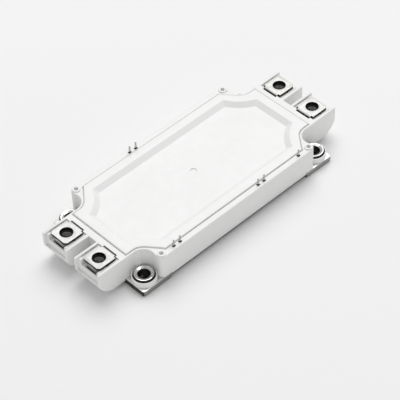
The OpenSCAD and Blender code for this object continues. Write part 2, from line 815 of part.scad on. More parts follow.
// curved hollow for a row of wires: a stretch of a pipe wall across the row
module wire_hollow(p, q, rise, land, half_w) {
    arc = arc_of(p, q, rise);
    above_feet(p, q, land, half_w)
        translate([arc[0][0], half_w, arc[0][1]]) rotate([90, 0, 0]) difference() {
            cylinder(r = arc[1] + wire_d / 2 + wire_room, h = 2 * half_w);
            translate([0, 0, -over])
                cylinder(r = arc[1] - wire_d / 2 - wire_room, h = 2 * (half_w + over));
        }
}

// a row of parallel wires; hollow gives the room for the whole row instead
module wire_row(p, q, rise, land, count, step, hollow) {
    if (hollow) wire_hollow(p, q, rise, land, (count - 1) * step / 2 + wire_d / 2 + wire_room);
    else for (k = [0 : count - 1]) translate([0, (k - (count - 1) / 2) * step, 0])
        wire_arc(p, q, rise, land);
}

// wires of one substrate, from the middle of each chip across to the next conductor
module chip_wires(i, hollow) {
    // level, middle and edge of the chip, number of wires, far edge of the conductor they land on
    rows = [
        ["high", transistor_x, transistor_s, transistor_wires, phase_to_y],
        ["high", diode_x, diode_s, diode_wires, phase_to_y],
        ["low", transistor_x, transistor_s, transistor_wires, minus_to_y],
        ["low", diode_x, diode_s, diode_wires, minus_to_y]
    ];
    color("lightgray") for (r = rows)
        translate([substrate_x(i) + r[1], 0, 0]) rotate([0, 0, 90])
            wire_row([r[4] - wire_land, copper_top], [chip_from_y(r[0]) + r[2] / 2, chip_top],
                wire_rise, r[2] / 2, r[3], (r[2] - 2 * wire_margin) / (r[3] - 1), hollow);
}

// wires from one substrate to the next, one row for each power conductor
module link_wires(gap, hollow) {
    fields = [[plus_from_y, plus_to_y], [phase_from_y, phase_to_y], [minus_from_y, minus_to_y]];
    middle_x = (substrate_x(gap) + substrate_x(gap + 1)) / 2;
    reach = substrate_pitch / 2 - conductor_half_x + wire_land;
    color("lightgray") for (f = fields) translate([middle_x, (f[0] + f[1]) / 2, 0])
        wire_row([-reach, copper_top], [reach, copper_top], wire_rise / 2, 0, link_wires_in_row,
            link_step, hollow);
}

// wires from the terminals' landings down to the end substrates
module terminal_wires(hollow) {
    // end, middle of the row, number of wires
    rows = [
        [-1, (landing_in + phase_to_y) / 2, 4],
        [-1, (phase_from_y - landing_in) / 2, 6],
        [1, (plus_from_y + landing_to_y) / 2, 6],
        [1, (minus_to_y - landing_to_y) / 2, 3]
    ];
    foot_x = substrate_x(substrate_count - 1) + conductor_half_x - wire_land;
    color("lightgray") for (r = rows) mirror([r[0] < 0 ? 1 : 0, 0, 0]) translate([0, r[1], 0])
        wire_row([foot_x, copper_top], [landing_end_x + terminal_land, landing_top], wire_rise,
            terminal_land, r[2], link_step, hollow);
}

// nearest place to x on the conductors of the nearest substrate
function on_substrate(x) =
    let (
        middle = round(x / substrate_pitch) * substrate_pitch,
        reach = conductor_half_x - wire_land
    ) max(middle - reach, min(middle + reach, x));

// one wire from each pin's foot to its track on the nearest substrate
module pin_wires(hollow) {
    color("lightgray") for (p = PINS) mirror([0, p[3] < 0 ? 1 : 0, 0]) {
        foot = [on_substrate(pin_x(p)), conductor_half_y - track_w / 2 - p[4] * track_pitch];
        run = [pin_x(p), pin_foot_end + wire_land] - foot;
        translate(foot) rotate([0, 0, atan2(run[1], run[0])])
            wire_row([0, copper_top], [norm(run), pin_foot_top],
                wire_rise, wire_land, 1, link_step, hollow);
    }
}

// chip thermistor across its two pads
module thermistor() {
    middle_x = (thermistor_pins[0] + thermistor_pins[1]) / 2;
    color("saddlebrown")
        translate([middle_x - thermistor_size[0] / 2, plus_to_y - thermistor_size[1], copper_top])
            cube(thermistor_size);
}

// gel that fills the frame up to its level, round everything that stands in it
module potting_gel() {
    color([0.8, 0.85, 0.9, 0.5]) difference() {
        union() {
            translate([0, 0, plate_t]) linear_extrude(ledge_z - plate_t + eps) lower_bay_plan();
            translate([0, 0, ledge_z]) linear_extrude(gel_z - ledge_z) cavity_plan();
        }
        for (i = SUBSTRATES) {
            substrate_solder(i);
            substrate_back_copper(i);
            substrate_ceramic(i);
            substrate_conductors(i);
            for (level = ["high", "low"]) {
                transistor_chip(i, level);
                diode_chip(i, level);
            }
            chip_wires(i, true);
        }
        for (gap = [0, 1]) link_wires(gap, true);
        terminal_wires(true);
        pin_wires(true);
        thermistor();
        for (t = TERMINALS) terminal(t[1], t[2]);
        for (p = PINS) pin(p);
    }
}

base_plate();
base_seal();
housing_frame();
lid();
terminal_nuts();
for (t = TERMINALS) color("silver") terminal(t[1], t[2]);
for (i = [1 : len(BUSHES)]) mount_bush(BUSHES[i - 1]);
for (p = PINS) color("silver") pin(p);
for (i = SUBSTRATES) {
    substrate_solder(i);
    substrate_back_copper(i);
    substrate_ceramic(i);
    substrate_conductors(i);
    for (level = ["high", "low"]) {
        transistor_chip(i, level);
        diode_chip(i, level);
    }
    chip_wires(i, false);
}
link_wires(0, false);  // link_wires_1
link_wires(1, false);  // link_wires_2
terminal_wires(false);
pin_wires(false);
thermistor();
potting_gel();
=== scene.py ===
"""Looks of a half-bridge power module: moulded frame, lid, plated terminals, bushes, nuts and pins.

Laid out as a Blender add-on and run as a script. Every piece is worked out with numpy or is a rounded
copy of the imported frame's own solid, in metres, +Z up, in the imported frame.
"""

import math

import bmesh
import bpy
import numpy as np
from mathutils import Matrix, Vector


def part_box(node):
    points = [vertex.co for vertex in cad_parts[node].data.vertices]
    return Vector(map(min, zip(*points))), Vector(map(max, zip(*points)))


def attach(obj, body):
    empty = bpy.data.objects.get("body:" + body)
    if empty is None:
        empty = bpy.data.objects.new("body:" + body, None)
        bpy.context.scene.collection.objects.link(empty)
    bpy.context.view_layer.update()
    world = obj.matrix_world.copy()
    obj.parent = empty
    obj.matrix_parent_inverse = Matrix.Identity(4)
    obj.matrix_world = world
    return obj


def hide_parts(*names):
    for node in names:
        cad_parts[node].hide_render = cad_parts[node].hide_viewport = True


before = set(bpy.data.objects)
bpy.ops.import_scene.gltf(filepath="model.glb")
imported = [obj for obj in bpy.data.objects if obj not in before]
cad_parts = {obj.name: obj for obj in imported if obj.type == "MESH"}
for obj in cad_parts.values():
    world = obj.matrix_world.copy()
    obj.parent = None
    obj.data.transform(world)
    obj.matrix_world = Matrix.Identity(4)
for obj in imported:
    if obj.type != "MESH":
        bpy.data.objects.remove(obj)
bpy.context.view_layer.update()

bl_info = {
    "name": "Half-bridge power module",
    "version": (1, 0, 0),
    "blender": (4, 5, 0),
    "location": "View3D > Sidebar > Power module",
    "description": "Moulded frame, lid, terminals, bushes, nuts and pins of a power module",
    "category": "Add Mesh",
}

MM = 0.001
LID_LOW, LID_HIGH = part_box("lid")
BUSH_LOW, BUSH_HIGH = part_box("mount_bush_4")
NUT_LOW, NUT_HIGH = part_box("terminal_nuts")
TERMINALS = ["terminal_ac_near", "terminal_ac_far", "terminal_dc_minus", "terminal_dc_plus"]
PINS = sorted(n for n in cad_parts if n.startswith("pin_") and n != "pin_wires")
BUSHES = ["mount_bush_%d" % i for i in range(1, 5)]
# on which side of the middle each bush stands, in X and Y
CORNERS = np.array([[-1, -1], [-1, 1], [1, -1], [1, 1]])
# mounting hole and board tower of the corner at +X, +Y
MOUNT = np.array([(BUSH_LOW.x + BUSH_HIGH.x) / 2, (BUSH_LOW.y + BUSH_HIGH.y) / 2])
TOWER = MOUNT + np.array([-7.75, 3.75]) * MM
# height of the moulded frame's rim, and how far the terminal screws stand from the X axis
RIM_Z = 16.4 * MM
SCREW_Y = 11 * MM

# angles between two faces, in degrees: new pieces and copies shade smoothly below the first two, a
# copy's faces are joined below the third, and its edges are rounded above the last
SMOOTH_PIECE, SMOOTH_COPY, FLAT, SHARP = 35, 32, 0.6, 40
# a copy's corners closer together than this are one corner
SAME_POINT = 0.002 * MM
# points round a turned piece
TURNED = 72


# sizes and colours that a user would change

def length(name, description, default):
    """A size in metres."""
    return bpy.props.FloatProperty(name=name, description=description, default=default,
                                   unit="LENGTH", precision=5)


def colour(name, description, default):
    """A colour, in linear red, green and blue."""
    return bpy.props.FloatVectorProperty(name=name, description=description, default=default,
                                         subtype="COLOR", size=3, min=0, max=1)


def number(name, description, default, **more):
    """A plain number."""
    return bpy.props.FloatProperty(name=name, description=description, default=default, **more)


class ModuleHousing(bpy.types.PropertyGroup):
    """Sizes and colours of the moulded frame"""
    edge: length("Edge rounding", "Radius on the moulded frame's outer edges", 0.22 * MM)
    plastic: colour("Frame colour", "Colour of the moulded frame", (0.865, 0.865, 0.855))
    # painted shade: this near-black colour stands in for the shade down in the deep sinks round the pins
    sink: colour("Sink colour", "Colour inside the sinks round the pins", (0.05, 0.05, 0.05))
    roughness: number("Roughness", "Roughness of the moulded plastic", 0.42,
                      min=0, max=1, subtype="FACTOR")


class ModuleLid(bpy.types.PropertyGroup):
    """Sizes and colour of the lid"""
    corner: length("Corner radius", "Radius of the lid's hollow corners about the mounting holes",
                   7.2 * MM)
    tower: length("Tower radius", "Radius of the lid's hollow corners about the board towers", 3.5 * MM)
    point: length("Corner rounding", "Radius of the lid's outer corners", 0.5 * MM)
    border_x: length("End border", "Width of the flat border at the short ends", 4.55 * MM)
    border_y: length("Side border", "Width of the flat border along the long sides", 4.45 * MM)
    recess_corner: length("Recess corner", "Radius of the recess's corners", 22.0 * MM)
    recess_out: length("Recess centre", "How far that radius is centred beyond the mounting hole",
                       7.4 * MM)
    depth: length("Recess depth", "Depth of the recessed panel", 1.8 * MM)
    lean: length("Recess lean", "How far the recess wall leans in over its depth", 2.7 * MM)
    under: length("Border thickness", "Thickness of the lid's border", 1.6 * MM)
    skin: length("Wall thickness", "Thickness of the leaning wall, measured level", 1.2 * MM)
    round: length("Edge rounding", "Radius on the lid's edges", 0.3 * MM)
    dimple: length("Gate mark radius", "Radius of the gate mark in the middle", 1.6 * MM)
    dimple_depth: length("Gate mark depth", "Depth of the gate mark", 0.5 * MM)
    plastic: colour("Lid colour", "Colour of the lid", (0.87, 0.87, 0.865))
    roughness: number("Roughness", "Roughness of the lid's plastic", 0.4, min=0, max=1, subtype="FACTOR")


class ModuleMetal(bpy.types.PropertyGroup):
    """Sizes and colours of the base plate, terminals, bushes, pins and nuts"""
    strip_edge: length("Strip rounding", "Radius on the terminals' stamped edges", 0.14 * MM)
    plate_edge: length("Plate rounding", "Radius on the base plate's edges", 0.25 * MM)
    bore: length("Bush bore", "Bore radius of the mounting bushes", 2.75 * MM)
    mouth: length("Bush mouth", "Radius at which the dished seat turns into the bore", 3.1 * MM)
    lip: length("Bush lip", "Width of the flat lip round the dished seat", 0.55 * MM)
    dish: length("Bush dish", "Depth of the bushes' dished seat", 0.45 * MM)
    pin_inner: length("Pin stock", "Thickness of a pin inside the frame", 0.8 * MM)
    pin_width: length("Pin width", "Width of a pin above the rim", 0.8 * MM)
    pin_thick: length("Pin thickness", "Thickness of a pin above the rim", 0.6 * MM)
    pin_tip: length("Pin tip", "Length of a pin's tapered tip", 0.7 * MM)
    thread: length("Thread pitch", "Pitch of the nuts' thread", 1.0 * MM)
    nut_bore: length("Nut bore", "Radius over the crests of the nuts' thread", 2.5 * MM)
    nickel: colour("Nickel", "Colour of the plated terminals", (0.70, 0.695, 0.68))
    # painted shade: this near-black colour stands in for the shadow lines under the contact plates'
    # edges and in the slits at the bends
    strip_shade: colour("Stamped edge", "Colour of the terminals' stamped edges",
                     (0.013, 0.0125, 0.012))
    plate: colour("Plate face", "Colour of the base plate's plated faces", (0.80, 0.79, 0.77))
    # painted shade: the base plate's sides are much darker than its plated faces, mid grey on the long
    # sides and near black on the ends, in place of the shade on them
    plate_side_shade: colour("Plate side", "Colour of the base plate's long sides", (0.34, 0.335, 0.33))
    cut: colour("Plate end", "Colour of the base plate's ends, painted shade", (0.055, 0.052, 0.05))
    tin: colour("Pin tin", "Colour of the tinned pins", (0.50, 0.50, 0.49))
    seat: colour("Bush seat", "Colour of the bushes' turned seats", (0.66, 0.652, 0.645))
    # painted shade: this near-black colour stands in for the shade on the bushes' walls, in their bores
    # and in the gap round their lips
    wall: colour("Bush wall", "Colour of the bushes' walls and bores, painted shade", (0.07, 0.068, 0.066))
    zinc: colour("Nut zinc", "Colour of the nuts' zinc plating", (0.50, 0.50, 0.49))
    # painted shade: the thread is darker than the zinc flats and the upper faces near black, in place of
    # the shade down the bore and under the contact plates
    thread_shade: colour("Nut thread", "Colour of the nuts' thread, painted shade", (0.20, 0.20, 0.195))
    black: colour("Nut face", "Colour of the nuts' dark upper faces", (0.02, 0.02, 0.02))


class ModuleStage(bpy.types.PropertyGroup):
    """Floor, light and lens"""
    floor: colour("Floor colour", "Colour of the floor", (0.90, 0.90, 0.90))
    lens: number("Lens", "Focal length on a 36 mm sensor", 153.8)
    sky: number("Sky", "Strength of the light from all round", 0.50)
    panel: number("Panel", "Power of the overhead panel, in watts", 58.0)
    fill: number("Fill", "Power of the low panel in front, in watts", 5.6)


# meshes

def make_piece(name, verts, faces, slot, replaces):
    """A piece from an array of corners and arrays of faces, smooth but for its sharp edges."""
    mesh = bpy.data.meshes.new(name)
    mesh.from_pydata(verts.reshape(-1, 3).tolist(), [], [f for part in faces for f in part.tolist()])
    mesh.validate()
    mesh.shade_smooth()
    mesh.set_sharp_from_angle(angle=math.radians(SMOOTH_PIECE))
    mesh.update()
    return seat(bpy.data.objects.new(name, mesh), slot, replaces)


def seat(piece, slot, replaces):
    """Links a piece, lets it ride on the module and stand for the solids that it details."""
    bpy.context.scene.collection.objects.link(piece)
    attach(piece, "root")
    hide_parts(*replaces)
    return piece


def wrapped_faces(rows, cols, close_rows):
    """Quads between neighbouring rows and columns of a grid, closed along its columns, and along its
    rows too for a tube that bites its own tail."""
    r = np.arange(rows if close_rows else rows - 1)[:, None]
    c = np.arange(cols)[None, :]
    r1, c1 = (r + 1) % rows, (c + 1) % cols
    return np.stack(np.broadcast_arrays(r * cols + c, r * cols + c1, r1 * cols + c1, r1 * cols + c),
                    axis=-1).reshape(-1, 4)


def pole_faces(first, cols, pole, turned=False):
    """Triangles between a pole and the row of a grid that starts at the point with number first. They
    run against the row's direction when turned."""
    turn = np.arange(cols)
    here, after = first + turn, first + (turn + 1) % cols
    return np.stack([after if turned else here, here if turned else after, np.full(cols, pole)], -1)


def at_height(rows, z):
    """Rows of (x, y) points with their heights added: one for them all, or one for each row."""
    return np.concatenate([rows, np.broadcast_to(np.reshape(z, (-1, 1, 1)), rows.shape[:2] + (1,))], -1)


def round_profile(points, radii, steps):
    """A closed profile with each corner turned into an arc: at a corner with unit directions a and b to
    its neighbours and half-angle h between them, the arc starts radius / tan(h) away from the corner
    and is the rational curve of degree two through the corner with middle weight sin(h)."""
    p = np.asarray(points, float)
    radii = np.asarray(radii, float)
    a = np.roll(p, 1, axis=0) - p
    b = np.roll(p, -1, axis=0) - p
    la, lb = np.linalg.norm(a, axis=1), np.linalg.norm(b, axis=1)
    a, b = a / la[:, None], b / lb[:, None]
    half = np.arccos(np.clip((a * b).sum(1), -1, 1)) / 2
    # an arc takes less than half of a side, so that two arcs never meet
    reach = np.minimum(radii / np.tan(half), 0.48 * np.minimum(la, lb))
    t = np.linspace(0, 1, steps + 1)[None, :, None]
    w = np.sin(half)[:, None, None]
    start, end = (p + a * reach[:, None])[:, None], (p + b * reach[:, None])[:, None]
    top = (1 - t) ** 2 * start + 2 * t * (1 - t) * w * p[:, None] + t ** 2 * end
    return (top / ((1 - t) ** 2 + 2 * t * (1 - t) * w + t ** 2)).reshape(-1, 2)


def lathe(profile, count):
    """Turns a closed profile of (radius, height) about the Z axis: the point of the profile at angle
    u is (radius cos u, radius sin u, height)."""
    u = np.arange(count) * 2 * np.pi / count
    r, z = profile[:, 0, None], profile[:, 1, None]
    return np.stack(np.broadcast_arrays(r * np.cos(u), r * np.sin(u), z), axis=-1)


def rounded_copy(name, nodes, radius, slot, keep=None):
    """A merged copy of CAD solids, flat areas joined, whose outer edges are given a small radius. keep
    chooses edges by the middle of each edge, an array of points."""
    bm = bmesh.new()
    for node in nodes:
        bm.from_mesh(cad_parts[node].data)
    bmesh.ops.remove_doubles(bm, verts=bm.verts[:], dist=SAME_POINT)
    bmesh.ops.dissolve_limit(bm, angle_limit=math.radians(FLAT), use_dissolve_boundaries=False,
                             verts=bm.verts[:], edges=bm.edges[:])
    edges = [e for e in bm.edges
             if e.is_manifold and e.is_convex and e.calc_face_angle(0) > math.radians(SHARP)]
    if keep is not None:
        middles = np.array([(e.verts[0].co + e.verts[1].co) / 2 for e in edges])
        edges = [e for e, k in zip(edges, keep(middles)) if k]
    bmesh.ops.bevel(bm, geom=edges, offset=radius, offset_type="OFFSET", segments=2, profile=0.5,
                    affect="EDGES", clamp_overlap=False, loop_slide=True)
    mesh = bpy.data.meshes.new(name)
    bm.to_mesh(mesh)
    bm.free()
    mesh.shade_smooth()
    mesh.set_sharp_from_angle(angle=math.radians(SMOOTH_COPY))
    return seat(bpy.data.objects.new(name, mesh), slot, nodes)


def paint(piece, *materials, pick=None):
    """Gives a piece its materials. pick returns the material's number for each face from the faces'
    middles and normals, as arrays."""
    mesh = piece.data
    mesh.materials.clear()
    for m in materials:
        mesh.materials.append(m)
    if pick is not None:
        n = len(mesh.polygons)
        middle, normal = np.zeros(n * 3), np.zeros(n * 3)
        mesh.polygons.foreach_get("center", middle)
        mesh.polygons.foreach_get("normal", normal)
        mesh.polygons.foreach_set("material_index",
                                  pick(middle.reshape(-1, 3), normal.reshape(-1, 3)).astype(np.int32))


# materials

class Finish:
    """A procedural material under construction: every pattern reads Object coordinates."""

    # the part of a noise's range over which a ramp climbs
    CLIMB = (0.3, 0.7)

    def __init__(self, name, base, roughness, metallic=0.0, **sockets):
        self.material = bpy.data.materials.new(name)
        self.material.use_nodes = True
        self.tree = self.material.node_tree
        self.shader = self.tree.nodes["Principled BSDF"]
        self.base = tuple(base)
        self.shader.inputs["Base Color"].default_value = self.base + (1,)
        self.shader.inputs["Roughness"].default_value = roughness
        self.shader.inputs["Metallic"].default_value = metallic
        for socket, value in sockets.items():
            self.shader.inputs[socket.replace("_", " ")].default_value = value
        self.place = self.tree.nodes.new("ShaderNodeTexCoord").outputs["Object"]
        self.bump = None

    def noise(self, scale, detail, stretch=(1, 1, 1)):
        """Noise with so many features per metre, times the stretch along each axis."""
        nodes, links = self.tree.nodes, self.tree.links
        where = self.place
        if stretch != (1, 1, 1):
            mapping = nodes.new("ShaderNodeMapping")
            mapping.inputs["Scale"].default_value = stretch
            links.new(where, mapping.inputs["Vector"])
            where = mapping.outputs["Vector"]
        texture = nodes.new("ShaderNodeTexNoise")
        texture.inputs["Scale"].default_value = scale
        texture.inputs["Detail"].default_value = detail
        links.new(where, texture.inputs["Vector"])
        return texture.outputs["Fac"]

    def ramp(self, source, low, high, socket):
        """Drives a socket with a pattern that climbs from one grey value or colour to another."""
        ramp = self.tree.nodes.new("ShaderNodeValToRGB")
        for element, position, value in zip(ramp.color_ramp.elements, self.CLIMB, (low, high)):
            element.position = position
            element.color = tuple(np.broadcast_to(value, 3)) + (1,)
        self.tree.links.new(source, ramp.inputs["Fac"])
        self.tree.links.new(ramp.outputs["Color"], self.shader.inputs[socket])

    def tint(self, source, dark, light):
        """Base colour that wanders between two shades of the base with a pattern."""
        self.ramp(source, [c * dark for c in self.base], [c * light for c in self.base], "Base Color")

    def gloss(self, source, low, high):
        """Roughness that wanders between two values with a pattern."""
        self.ramp(source, low, high, "Roughness")

    def relief(self, source, depth, strength):
        """Adds a bump of so many metres to those already there."""
        bump = self.tree.nodes.new("ShaderNodeBump")
        bump.inputs["Strength"].default_value = strength
        bump.inputs["Distance"].default_value = depth
        self.tree.links.new(source, bump.inputs["Height"])
        if self.bump is not None:
            self.tree.links.new(self.bump, bump.inputs["Normal"])
        self.bump = bump.outputs["Normal"]
        self.tree.links.new(self.bump, self.shader.inputs["Normal"])


def moulded_plastic(name, base, roughness):
    """Glass-filled white plastic: a satin skin with fine grain, faint flow shades and a little sink."""
    f = Finish(name, base, roughness, Specular_IOR_Level=0.45)
    f.tint(f.noise(55, detail=4, stretch=(0.5, 1, 1)), dark=0.985, light=1.012)
    f.gloss(f.noise(240, detail=3), low=roughness - 0.06, high=roughness + 0.08)
    f.relief(f.noise(4200, detail=2), depth=0.012 * MM, strength=0.5)
    f.relief(f.noise(60, detail=1), depth=0.05 * MM, strength=0.35)
    return f.material


def plated_metal(name, base, roughness, grain, scale):
    """Plated metal: fine rolling or turning marks, soft clouds in the gloss and shallow dents."""
    f = Finish(name, base, roughness, metallic=1.0)
    marks = f.noise(scale, detail=5, stretch=grain)
    f.tint(f.noise(130, detail=4), dark=0.965, light=1.03)
    f.gloss(marks, low=max(0.05, roughness - 0.09), high=roughness + 0.1)
    f.relief(marks, depth=0.006 * MM, strength=0.6)
    f.relief(f.noise(170, detail=2), depth=0.02 * MM, strength=0.4)
    return f.material


def painted_shade_metal(name, base, roughness, metallic):
    """Dull, dark metal that carries painted shade on the plate's ends, the strips' steep faces and the
    nuts' upper faces, with upright tear marks.
    """
    f = Finish(name, base, roughness, metallic, Specular_IOR_Level=0.3)
    f.tint(f.noise(1300, detail=4, stretch=(1, 1, 0.15)), dark=0.6, light=1.7)
    f.relief(f.noise(2200, detail=3, stretch=(1, 1, 0.1)), depth=0.03 * MM, strength=0.6)
    return f.material


def inner_finish(name, base, roughness, scale, metallic=0.0, depth=0.01 * MM, **sockets):
    """Finish of the sealed inner pieces: clouded colour, clouded gloss and a fine grain."""
    f = Finish(name, base, roughness, metallic, **sockets)
    f.tint(f.noise(scale * 0.3, detail=3), dark=0.88, light=1.1)
    f.gloss(f.noise(scale * 0.5, detail=3), low=max(0.02, roughness - 0.06),
            high=min(1, roughness + 0.08))
    f.relief(f.noise(scale * 3, detail=3), depth=depth, strength=0.6)
    return f.material


# operators

class BuildLid(bpy.types.Operator):
    """Lid: one closed surface. Each ring is an outline moved inwards by g at height z, and (g, z) walks
    up and over the border, down the leaning wall, across the panel to the gate mark, and back along the
    underside"""
    bl_idname = "power_module.lid"
    bl_label = "Lid"

    # steps round each edge and round the gate mark's, and rings across the panel
    EDGE_STEPS, MARK_STEPS, PANEL_RINGS = 5, 4, 4
    # least radius of the border's outer corners, and how far a walk's ends run on to give its arcs a
    # direction
    LEAST_POINT, RUN_ON = 0.02 * MM, 3 * MM
    # radius at the recess's foot for each of the edges' radius, and that of the circle to which the
    # panel's rings shrink for each of the gate mark's radius
    FOOT_ROUND, HUB = 1.6, 1.4

    @staticmethod
    def border(half_x, half_y, hole, tower, point):
        """A quarter of the border's outline, one row of points for each value of the sizes. It runs up
        the end, round a small corner, in to the mounting hole's X, along an arc about that hole, along
        the line that touches this arc and the one about the board tower, along that second arc, and
        along the side to the Y axis. The line touches both arcs in the direction
        angle(tower - hole) + arccos((hole radius - tower radius) / distance)."""
        half_x, half_y, hole, tower, point = (np.asarray(v, float)[:, None]
                                              for v in (half_x, half_y, hole, tower, point))
        run = TOWER - MOUNT
        touch = np.arctan2(run[1], run[0]) + np.arccos((hole - tower) / np.linalg.norm(run))
        shoulder = MOUNT[1] - hole
        last = np.pi + np.arcsin((TOWER[1] - half_y) / tower)
        # shares of the way along the seven stretches
        up, corner, inward, first_arc, line, second_arc, side = (
            np.linspace(0, 1, n, endpoint=False)[None, :] for n in (12, 4, 4, 14, 6, 8, 30))
        bend = corner * np.pi / 2
        about_hole = -np.pi / 2 + (touch - 1.5 * np.pi) * first_arc
        about_tower = touch + (last - touch) * second_arc
        ax, ay = MOUNT[0] + hole * np.cos(touch), MOUNT[1] + hole * np.sin(touch)
        bx, by = TOWER[0] + tower * np.cos(touch), TOWER[1] + tower * np.sin(touch)
        x = [half_x + 0 * up, half_x - point + point * np.cos(bend),
             half_x - point + (MOUNT[0] - half_x + point) * inward,
             MOUNT[0] + hole * np.cos(about_hole), ax + (bx - ax) * line,
             TOWER[0] + tower * np.cos(about_tower), (TOWER[0] + tower * np.cos(last)) * (1 - side)]
        y = [(shoulder - point) * up, shoulder - point + point * np.sin(bend), shoulder + 0 * inward,
             MOUNT[1] + hole * np.sin(about_hole), ay + (by - ay) * line,
             TOWER[1] + tower * np.sin(about_tower), half_y + 0 * side]
        return np.stack([np.concatenate(x, 1), np.concatenate(y, 1)], axis=-1)

    @staticmethod
    def recess(half_x, half_y, radius, out):
        """A quarter of the recess's outline: up the end, along an arc about a point beyond the mounting
        hole, and along the side to the Y axis. Seen from that point, the arc starts
        arcsin((its X - half x) / radius) past straight down, and it stops
        arcsin((its Y - half y) / radius) short of straight left."""
        half_x, half_y, radius = (np.asarray(v, float)[:, None] for v in (half_x, half_y, radius))
        cx, cy = MOUNT + out
        first = -np.pi / 2 - np.arcsin((cx - half_x) / radius)
        last = -np.pi + np.arcsin((cy - half_y) / radius)
        up, round_corner, side = (np.linspace(0, 1, n, endpoint=False)[None, :] for n in (12, 36, 30))
        arc = first + (last - first) * round_corner
        x = [half_x + 0 * up, cx + radius * np.cos(arc), (cx + radius * np.cos(last)) * (1 - side)]
        y = [(cy + radius * np.sin(first)) * up, cy + radius * np.sin(arc), half_y + 0 * side]
        return np.stack([np.concatenate(x, 1), np.concatenate(y, 1)], axis=-1)

    @staticmethod
    def ring(quarter, z):
        """Whole outlines from quarters: each is mirrored in X, and the half that this gives is turned
        half way round for the other half."""
        top = quarter[:, 1:][:, ::-1] * [-1, 1]
        y_end = np.stack([0 * quarter[:, :1, 1], quarter[:, -1:, 1]], -1)
        half = np.concatenate([quarter, y_end, top], axis=1)
        return at_height(np.concatenate([half, -half], axis=1), z)

    def execute(self, context):
        s = context.scene.module_lid
        top, low = LID_HIGH.z, LID_LOW.z
        middle = np.array([LID_HIGH.x + LID_LOW.x, LID_HIGH.y + LID_LOW.y, 0]) / 2
        half_x, half_y = (LID_HIGH.x - LID_LOW.x) / 2, (LID_HIGH.y - LID_LOW.y) / 2
        floor, under, slope = top - s.depth, top - s.under, s.lean / s.depth

        def border(g, z):
            """Rings of the border's outline moved inwards by g, at height z."""
            return self.ring(self.border(half_x - g, half_y - g, s.corner + g, s.tower + g,
                                         np.maximum(s.point - g, self.LEAST_POINT)), z) + middle

        def recess(g, z):
            """Rings of the recess's outline moved inwards by g, at height z."""
            return self.ring(self.recess(half_x - s.border_x - g, half_y - s.border_y - g,
                                         s.recess_corner + g, s.recess_out), z)

        # walks of (inward distance, height): the border's edge, the leaning wall and its back. Only the
        # arcs at their own corners are kept, each of one point more than its steps
        far, n, m = self.RUN_ON, self.EDGE_STEPS + 1, self.MARK_STEPS + 1
        edge = round_profile([[0, under], [0, top], [far, top]], [0, s.round, 0],
                             self.EDGE_STEPS)[n:2 * n]
        edge = np.concatenate([[[s.round / 2, under], [0, under + s.round / 2]], edge])
        wall = round_profile([[-far, top], [0, top], [s.lean, floor], [s.lean + far, floor]],
                             [0, s.round, s.round * self.FOOT_ROUND, 0], self.EDGE_STEPS)[n:3 * n]
        out, tray = (top - under) * slope - s.skin, (top - low) * slope - s.skin
        back = round_profile([[tray + far, low], [tray, low], [out, under], [out - far, under]],
                             [0, s.round, s.round, 0], self.EDGE_STEPS)[n:3 * n]
        outside, sunk = border(edge[:, 0], edge[:, 1]), recess(wall[:, 0], wall[:, 1])
        # the panel: rings part of the way from the recess's foot to the hub, then the gate mark
        foot = sunk[-1, :, :2]
        angle = np.arctan2(foot[:, 1], foot[:, 0])
        circle = np.stack([np.cos(angle), np.sin(angle)], axis=-1)
        part = np.linspace(0, 1, self.PANEL_RINGS + 2)[1:-1, None, None]
        panel = at_height(foot * (1 - part) + circle * s.dimple * self.HUB * part, floor)
        pit = floor - s.dimple_depth
        mark = round_profile([[0.25 * s.dimple, pit], [0.9 * s.dimple, pit], [s.dimple, floor],
                              [2 * s.dimple, floor]],
                             [0, s.dimple / 12, s.dimple / 10, 0], self.MARK_STEPS)[m:3 * m][::-1]
        mark = at_height(circle * mark[:, :1, None], mark[:, 1])
        below = np.concatenate([recess(back[:, 0], back[:, 1]), border(np.array([s.round / 2]), under)])

        rows = np.concatenate([below, outside[1:], sunk, panel, mark])
        cols = rows.shape[1]
        count = len(rows) * cols
        points = np.concatenate([rows.reshape(-1, 3), [[0, 0, pit], [0, 0, low]]])
        faces = [wrapped_faces(len(rows), cols, close_rows=False),
                 pole_faces(count - cols, cols, count), pole_faces(0, cols, count + 1, turned=True)]
        piece = make_piece("lid_moulded", points, faces, "lid_plastic", ["lid"])
        paint(piece, moulded_plastic("lid_satin_plastic", s.plastic, s.roughness))
        return {"FINISHED"}


